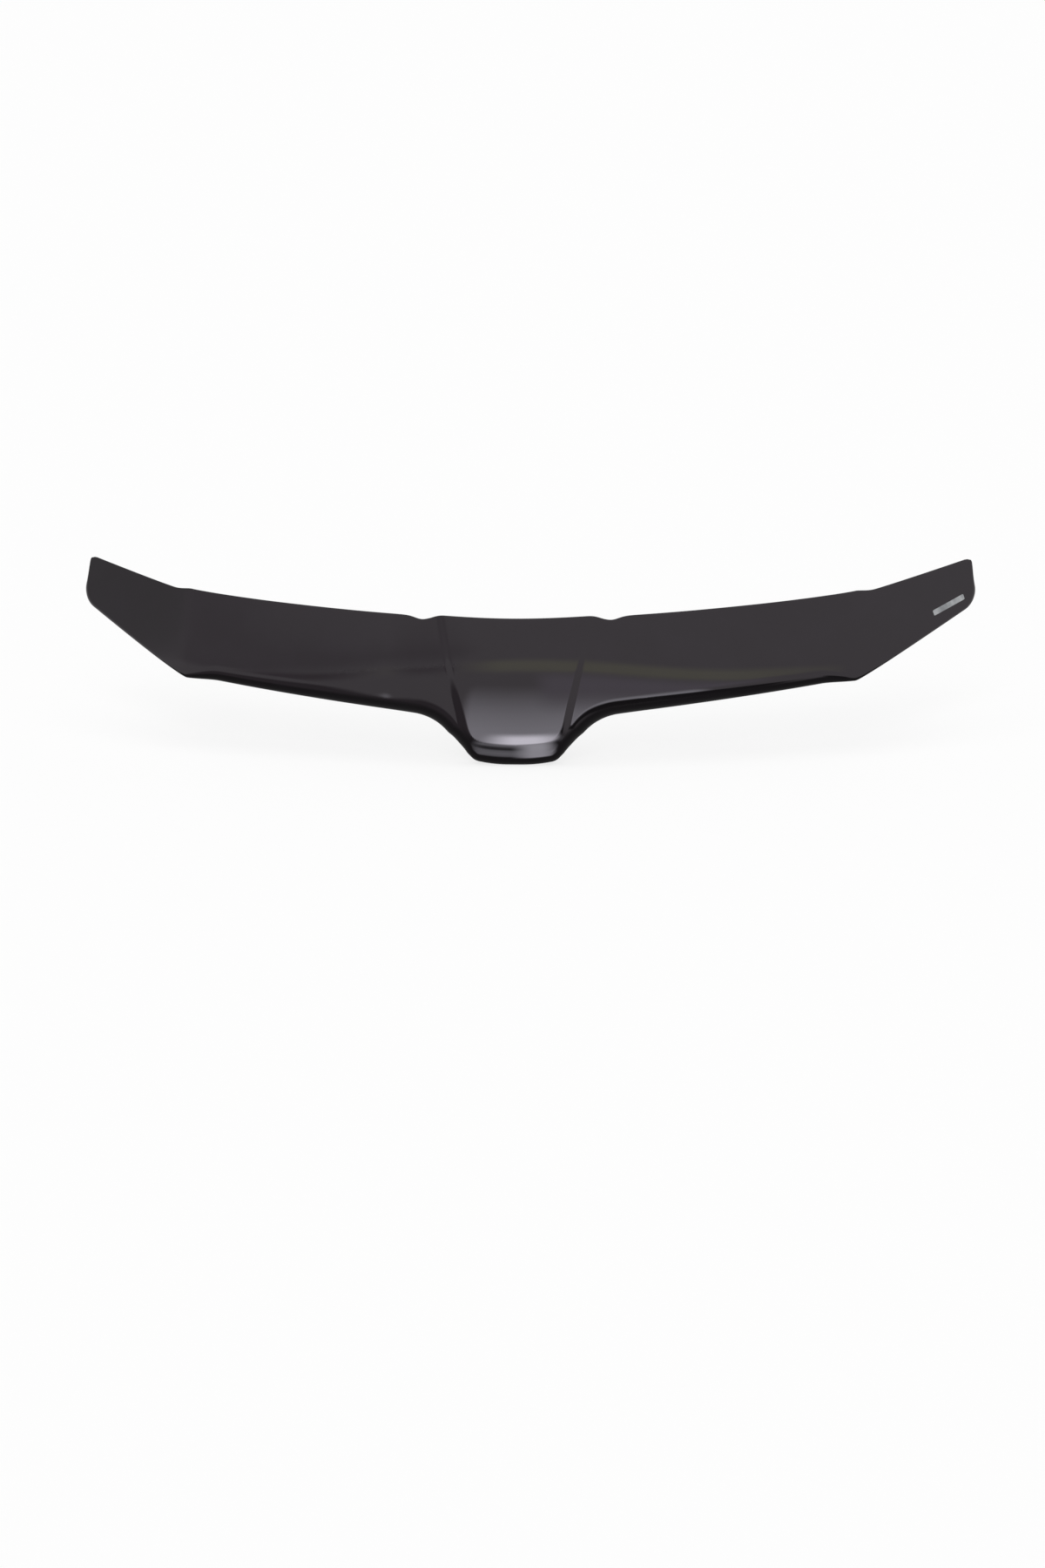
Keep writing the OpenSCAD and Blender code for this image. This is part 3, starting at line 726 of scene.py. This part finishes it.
# The shield's net, with a loose point at each screw hole
def makeShield():
    half, line = halfLoops()
    loops = [mirrored(loop) for loop in half[:0:-1]] + half
    rows = len(half[0])
    points = [point for loop in loops for point in loop]
    faces = []
    for i in range(len(loops) - 1):
        for j in range(rows):
            a, b = i * rows + j, i * rows + (j + 1) % rows
            faces.append((a, a + rows, b + rows, b))
    faces.append(tuple(range(rows)))
    faces.append(tuple(reversed(range(len(points) - rows, len(points)))))
    lower = [(p.x, p.y) for p in line if p.x < faceSizes["Fold half"]]
    reach = 2.0  # millimetres to either side, for the slope of the lower edge
    for x, roll in ((screwHoles["noseX"], sheet["noseRoll"]), (screwHoles["innerX"], sheet["wingRoll"]),
                    (screwHoles["outerX"], sheet["wingRoll"])):
        slope = (lookup(x + reach, lower) - lookup(x - reach, lower)) / (2 * reach)
        outward = Vector((slope, -1)).normalized()
        low = Vector((x, lookup(x, lower))) - roll * outward
        mark = [(low, outward, roll, roll + sheet["flange"] / 2, 0)]
        points += mark + mirrored(mark)
    net = flatNet("shieldSkin", points, faces)
    marks = net.data.attributes.new("screwMark", "BOOLEAN", "POINT")
    marks.data.foreach_set("value", [i >= len(loops) * rows for i in range(len(points))])
    return net


shield = makeShield()
shieldSizes = {**faceSizes, "Hole diameter": screwHoles["diameter"],
               "Drill length": screwHoles["drillLength"]}
grown(shield, buildShieldTree(blackAcrylic, shieldSizes), shieldSizes, None, sharpAngle=40)
# the sheet is brought to the frame by its box
scale = 0.001
low = [min(v.co[i] for v in shield.data.vertices) * scale for i in range(3)]
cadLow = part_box("shield")[0]
toFrame = Matrix.Translation((0, cadLow.y - low[1], cadLow.z - low[2])) @ Matrix.Scale(scale, 4)
shield.data.transform(toFrame)
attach(shield, "root")
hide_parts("shield")
print("shield:", len(shield.data.polygons), "faces, moved", toFrame.translation)


# Bumpers stand behind the top edge, on their glue line
bumpers = {"innerX": 75.0, "middleX": 265.0, "outerX": 450.0, "inset": 16.0, "glue": 0.15,
           "diameter": 14.0, "height": 5.0, "bevel": 1.0}


def makeBumpers():
    points = []
    for x in (bumpers["innerX"], bumpers["middleX"], bumpers["outerX"]):
        place = Vector((x, topEdge(x) - bumpers["inset"]))
        point = [(place, Vector((0, 1)), 0, 0, sheet["wall"] + bumpers["glue"])]
        points += point + mirrored(point)
    net = flatNet("rubberBumpers", points, [])
    sizes = {**faceSizes, "Diameter": bumpers["diameter"], "Height": bumpers["height"],
             "Bevel": bumpers["bevel"]}
    grown(net, buildBumperTree(rubber, sizes), sizes, toFrame, sharpAngle=50)
    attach(net, "root")
    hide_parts(*[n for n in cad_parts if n.startswith("bumper_")])


makeBumpers()
print("bumpers made")


# A strip with rounded corners, laid on the front view; its length and width are as seen from there
def stripNet(name, centre, angle, length, width, near, far, corner, bevel):
    along = Vector((math.cos(math.radians(angle)), math.sin(math.radians(angle))))
    across = Vector((-along.y, along.x))
    columns, rows, cornerRows, sideShare = 60, 8, 6, 0.2
    arc = [corner * (1 - math.cos(math.pi / 2 * k / cornerRows)) for k in range(cornerRows + 1)]
    stops = arc + [mix(corner, length - corner, k / columns) for k in range(1, columns)]
    stops += [length - a for a in reversed(arc)]
    thick = far - near
    layers = [(near, bevel), (near + thick * sideShare, 0), (far - thick * sideShare, 0), (far, bevel)]
    points, faces = [], []
    for stop in stops:
        inset = min(stop, length - stop)
        bite = 0 if inset >= corner else corner - math.sqrt(max(0, corner ** 2 - (corner - inset) ** 2))
        half = width / 2 - bite
        loop = [(-1 + 2 * k / rows, *layers[0]) for k in range(rows + 1)]
        loop += [(1, *layers[1]), (1, *layers[2])]
        loop += [(1 - 2 * k / rows, *layers[3]) for k in range(rows + 1)]
        loop += [(-1, *layers[2]), (-1, *layers[1])]
        for side, lift, trim in loop:
            x = min(max(stop, trim), length - trim) - length / 2
            points.append((centre + along * x + across * side * (half - trim), across, 0, 0, lift))
    size = len(loop)
    for i in range(len(stops) - 1):
        for j in range(size):
            a, b = i * size + j, i * size + (j + 1) % size
            faces.append((a, b, b + size, a + size))
    faces.append(tuple(reversed(range(size))))
    faces.append(tuple(range(len(points) - size, len(points))))
    return flatNet(name, points, faces)


strip = {"fromTip": (64.0, -8.0), "angle": 21.0, "length": 46.5, "width": 7.4, "thick": 0.4, "glue": 0.15,
         "corner": 1.5, "bevel": 0.05}
tape = {"length": 91.5, "width": 11.0, "thick": 1.1, "glue": 0.15, "corner": 0.6, "bevel": 0.1,
        "slopeReach": 12.0}


def makeStrip():
    along = Vector((math.cos(math.radians(strip["angle"])), math.sin(math.radians(strip["angle"]))))
    start = Vector((outline["tipHalf"] - strip["fromTip"][0], outline["tipLowZ"] + strip["fromTip"][1]))
    net = stripNet("silverStrip", start + along * strip["length"] / 2, strip["angle"], strip["length"],
                   strip["width"], -strip["glue"] - strip["thick"], -strip["glue"], strip["corner"],
                   strip["bevel"])
    grown(net, buildStickerTree(silverFilm, faceSizes), faceSizes, toFrame, sharpAngle=50)
    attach(net, "root")
    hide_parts("plain_strip")


# Half way between the lower and the upper edge of a tip
def tipMiddle(x):
    fold = faceSizes["Fold half"]
    lower = mix(outline["foldZ"], outline["tipLowZ"], (x - fold) / (outline["tipHalf"] - fold))
    return mix(lower, topEdge(x), 0.5)


def makeTapes():
    x = mix(faceSizes["Fold half"], outline["tipHalf"] - outline["tipEndLean"], 0.5)
    reach = tape["slopeReach"]
    angle = math.degrees(math.atan((tipMiddle(x + reach) - tipMiddle(x - reach)) / (2 * reach)))
    tree = buildStickerTree(foamTape, faceSizes)
    for side, name in ((1, "right"), (-1, "left")):
        near = sheet["wall"] + tape["glue"]
        net = stripNet("foamTape_" + name, Vector((side * x, tipMiddle(x))), side * angle, tape["length"],
                       tape["width"], near, near + tape["thick"], tape["corner"], tape["bevel"])
        grown(net, tree, faceSizes, toFrame, sharpAngle=50)
        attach(net, "root")
        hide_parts("tape_" + name)


makeStrip()
makeTapes()
print("strip and tapes made")


# The photograph's view: the camera's bearing and height round a point in the middle of the object
camera = {"target": (0, 0.0459, 0.1275), "azimuth": 4.517, "elevation": 11.404, "distance": 6.5,
          "yaw": -0.048, "pitch": 1.465, "roll": 0.629, "focalPixels": 5331.9, "framePixels": 1800}


def backFrom(azimuth, elevation):
    a, e = math.radians(azimuth), math.radians(elevation)
    return Vector((math.sin(a) * math.cos(e), -math.cos(a) * math.cos(e), math.sin(e)))


def makeCamera():
    c = camera
    data = bpy.data.cameras.new("camera")
    data.sensor_width = 36
    data.lens = c["focalPixels"] * data.sensor_width / c["framePixels"]
    obj = bpy.data.objects.new("camera", data)
    bpy.context.scene.collection.objects.link(obj)
    obj.location = Vector(c["target"]) + c["distance"] * backFrom(c["azimuth"], c["elevation"])
    aim = -backFrom(c["azimuth"] + c["yaw"], c["elevation"] + c["pitch"])
    obj.rotation_mode = "QUATERNION"
    rolled = Matrix.Rotation(math.radians(-c["roll"]), 3, "Z").to_quaternion()
    obj.rotation_quaternion = aim.to_track_quat("-Z", "Y") @ rolled
    bpy.context.scene.camera = obj


studio = {"skyForLight": 0.5, "floorDrop": 0.0005, "floorGlow": 0.78, "floorTone": "#fbfbfb",
          "floorSize": 40.0, "cardDistance": 6.0, "cardStep": 0.0001}
floorLevel = cadBounds[0].z - studio["floorDrop"]


# White for the camera and for reflections, and a plain level for what it lights
def shownStrength(tree, hidden):
    path = tree.nodes.new("ShaderNodeLightPath").outputs
    seen = addNode(tree, "ShaderNodeMath", {"operation": "MAXIMUM"},
                   {0: path["Is Camera Ray"], 1: path["Is Glossy Ray"]})
    shown = addNode(tree, "ShaderNodeMath", {"operation": "MAXIMUM"},
                    {0: seen, 1: path["Is Transmission Ray"]})
    return addNode(tree, "ShaderNodeMapRange", {"To Min": hidden, "To Max": 1.0}, {"Value": shown})


def placeCard(name, at, facing, size):
    mesh = bpy.data.meshes.new(name)
    mesh.from_pydata([(-1, -1, 0), (1, -1, 0), (1, 1, 0), (-1, 1, 0)], [], [(0, 1, 2, 3)])
    card = bpy.data.objects.new(name, mesh)
    bpy.context.scene.collection.objects.link(card)
    card.location = at
    card.rotation_mode = "QUATERNION"
    card.rotation_quaternion = facing.to_track_quat("Z", "Y")
    card.scale = (size[0] / 2, size[1] / 2, 1)
    return card


def makeStudio():
    world = bpy.data.worlds.new("studio")
    bpy.context.scene.world = world
    world.use_nodes = True
    tree = world.node_tree
    tree.nodes.clear()
    strength = shownStrength(tree, studio["skyForLight"])
    sky = addNode(tree, "ShaderNodeBackground", {"Color": (1, 1, 1, 1)}, {"Strength": strength})
    addNode(tree, "ShaderNodeOutputWorld", {}, {"Surface": sky})
    # the floor glows white to the camera, and its lit part keeps the object's shadow
    floor = placeCard("floor", (0, 0, floorLevel), Vector((0, 0, 1)), (studio["floorSize"],) * 2)
    material, tree, shader = newMaterial("paleFloor")
    shader.inputs["Base Color"].default_value = hexColor(studio["floorTone"])
    shader.inputs["Roughness"].default_value = 1.0
    shader.inputs["Specular IOR Level"].default_value = 0.0
    glow = addNode(tree, "ShaderNodeEmission", {"Color": (1, 1, 1, 1)},
                   {"Strength": shownStrength(tree, 0.0)})
    both = addNode(tree, "ShaderNodeMixShader", {"Fac": studio["floorGlow"]}, {1: shader, 2: glow})
    tree.links.new(both.outputs[0], tree.nodes["Material Output"].inputs["Surface"])
    floor.data.materials.append(material)
    floor.visible_glossy = False  # the gloss sees the world below the horizon too, and the cards in it


# Soft-edged glowing cards that only the gloss shows; they are no lamps and light nothing, but paint
# highlights and reflected shade onto the sheet.
# Those with a place lie in front of the object at floor level; the others stand six metres away, on a
# bearing and at a height. Sizes are in metres, solid is the share of the half width and height before the
# edge fades, and a card without a tone is white
cards = {
    # a dark card standing in for the shade under the object: painted shade in the reflection of the
    # rolled lower edge
    "darkUnder": {"place": (0.0, 0.065), "size": (1.9, 0.40), "strength": 0.16, "solid": (0.83, 0.5)},
    "nearGlow": {"place": (-0.028, -0.057), "size": (0.13, 0.030), "strength": 2.1, "solid": (0.5, 0.2),
                 "tone": "#f6fcff"},
    # the bright cards before the nose paint its highlight: a painted reflection
    "spotFront": {"place": (0.016, -0.12), "size": (0.227, 0.132), "strength": 13.8,
                  "solid": (0.16, 0.27), "tone": "#f6fcff"},
    "spotNear": {"place": (0.036, -0.055), "size": (0.095, 0.046), "strength": 6.3, "solid": (0.1, 0.4),
                 "tone": "#f6fcff"},
    "lowWindow": {"bearing": (-0.4, -23.5), "size": (5.85, 6.8), "strength": 4.3, "solid": (0.86, 0.02),
                  "tone": "#f6fcff"},
    "bendStrip": {"bearing": (7.3, 28.5), "size": (8.8, 3.6), "strength": 1.45, "solid": (0.38, 0.2),
                  "tone": "#faffe4"},
    "rightWindow": {"bearing": (19.0, 5.0), "size": (3.2, 3.6), "strength": 1.42, "solid": (0.3, 0.02),
                    "tone": "#f8f6ff"},
    # darkRight and darkLeft are dark cards: painted shade in the reflections of the wings
    "darkRight": {"bearing": (26.0, -34.0), "size": (3.4, 4.2), "strength": 0.12, "solid": (0.5, 0.6)},
    "darkLeft": {"bearing": (-47.0, -26.0), "size": (4.4, 6.2), "strength": 0.4, "solid": (0.6, 0.6),
                 "tone": "#fff6fc"},
    "leftBend": {"bearing": (-37.0, 19.0), "size": (2.0, 2.4), "strength": 0.6, "solid": (0.1, 0.1),
                 "tone": "#fff6fc"},
    "leftUpper": {"bearing": (-57.0, 38.0), "size": (5.0, 3.8), "strength": 0.78, "solid": (0.4, 0.4),
                  "tone": "#fffcff"},
    "leftSide": {"bearing": (-104.0, 42.5), "size": (7.6, 7.0), "strength": 0.62, "solid": (0.3, 0.5)},
    "rightSide": {"bearing": (92.0, 25.0), "size": (6.8, 6.7), "strength": 0.95, "solid": (0.3, 0.1)},
}

# Glowing white cards behind the sheet, for its inner side alone: a painted reflection of the white floor
# that the gloss doesn't see;
# those beside the middle come in pairs, and turn like the wings
insideCards = {
    "behindNose": {"place": (0.0, 0.066, 0.112), "turn": 0.0, "size": (0.25, 0.14), "strength": 1.0,
                   "solid": (0.9, 0.9)},
    "behindWing": {"place": (0.274, 0.104, 0.112), "turn": 13.1, "size": (0.37, 0.14), "strength": 1.0,
                   "solid": (0.9, 0.9)},
    "insideNose": {"place": (0.0, 0.08, 0.012), "turn": 0.0, "size": (0.125, 0.16), "strength": 0.9,
                   "solid": (0.6, 0.6)},
    "behindTip": {"place": (0.521, 0.212, 0.08), "turn": 40.4, "size": (0.26, 0.12), "strength": 1.0,
                  "solid": (0.8, 0.8)},
}


# A card that glows only in reflections: painted light that lights nothing
def glowSoftly(card, c):
    card.visible_camera = False
    card.visible_diffuse = False
    card.visible_transmission = False
    card.visible_shadow = False
    material, tree, shader = newMaterial(card.name)
    tree.nodes.remove(shader)
    place = tree.nodes.new("ShaderNodeTexCoord").outputs["Object"]
    split = addNode(tree, "ShaderNodeSeparateXYZ", {}, {0: place})
    cover = []
    for axis, solid in zip(("X", "Y"), c["solid"]):
        out = addNode(tree, "ShaderNodeMath", {"operation": "ABSOLUTE"}, {0: split.outputs[axis]})
        cover.append(addNode(tree, "ShaderNodeMapRange", {
            "interpolation_type": "SMOOTHSTEP", "From Min": solid, "From Max": 1.0,
            "To Min": 1.0, "To Max": 0.0}, {"Value": out}))
    both = addNode(tree, "ShaderNodeMath", {"operation": "MULTIPLY"}, {0: cover[0], 1: cover[1]})
    clear = tree.nodes.new("ShaderNodeBsdfTransparent")
    tone = hexColor(c.get("tone", "#ffffff"))
    glow = addNode(tree, "ShaderNodeEmission", {"Color": tone, "Strength": c["strength"]}, {})
    shown = addNode(tree, "ShaderNodeMixShader", {}, {"Fac": both, 1: clear, 2: glow})
    tree.links.new(shown.outputs[0], tree.nodes["Material Output"].inputs["Surface"])
    card.data.materials.append(material)


def makeCards():
    up = Vector((0, 0, 1))
    # each card in front of the object lies a little higher than the one before it
    for i, (name, c) in enumerate(cards.items(), start=1):
        if "place" in c:
            at = (*c["place"], floorLevel + studio["cardStep"] * i)
            glowSoftly(placeCard(name, at, up, c["size"]), c)
        else:
            toCard = backFrom(*c["bearing"])
            glowSoftly(placeCard(name, studio["cardDistance"] * toCard, -toCard, c["size"]), c)
    for name, c in insideCards.items():
        x, y, z = c["place"]
        for side in (1, -1) if x else (1,):
            card = placeCard(name, (side * x, y, z), up, c["size"])
            card.rotation_quaternion = Quaternion(up, side * math.radians(c["turn"]))
            glowSoftly(card, c)


# Soft light from the front and above, wide enough to blur the shadow; the gloss doesn't show it
lamps = {
    "front": {"azimuth": 0.0, "elevation": 32.0, "spread": 26.0, "strength": 1.1},
    "above": {"azimuth": -20.0, "elevation": 75.0, "spread": 60.0, "strength": 0.9},
}


def makeLamps():
    for name, lamp in lamps.items():
        data = bpy.data.lights.new(name, "SUN")
        data.angle = math.radians(lamp["spread"])
        data.energy = lamp["strength"]
        obj = bpy.data.objects.new(name, data)
        bpy.context.scene.collection.objects.link(obj)
        obj.rotation_mode = "QUATERNION"
        obj.rotation_quaternion = (-backFrom(lamp["azimuth"], lamp["elevation"])).to_track_quat("-Z", "Y")
        obj.visible_glossy = False


makeCamera()
makeStudio()
makeCards()
makeLamps()
view = bpy.context.scene.view_settings
view.view_transform = "Standard"
print("camera, studio and lamps made")
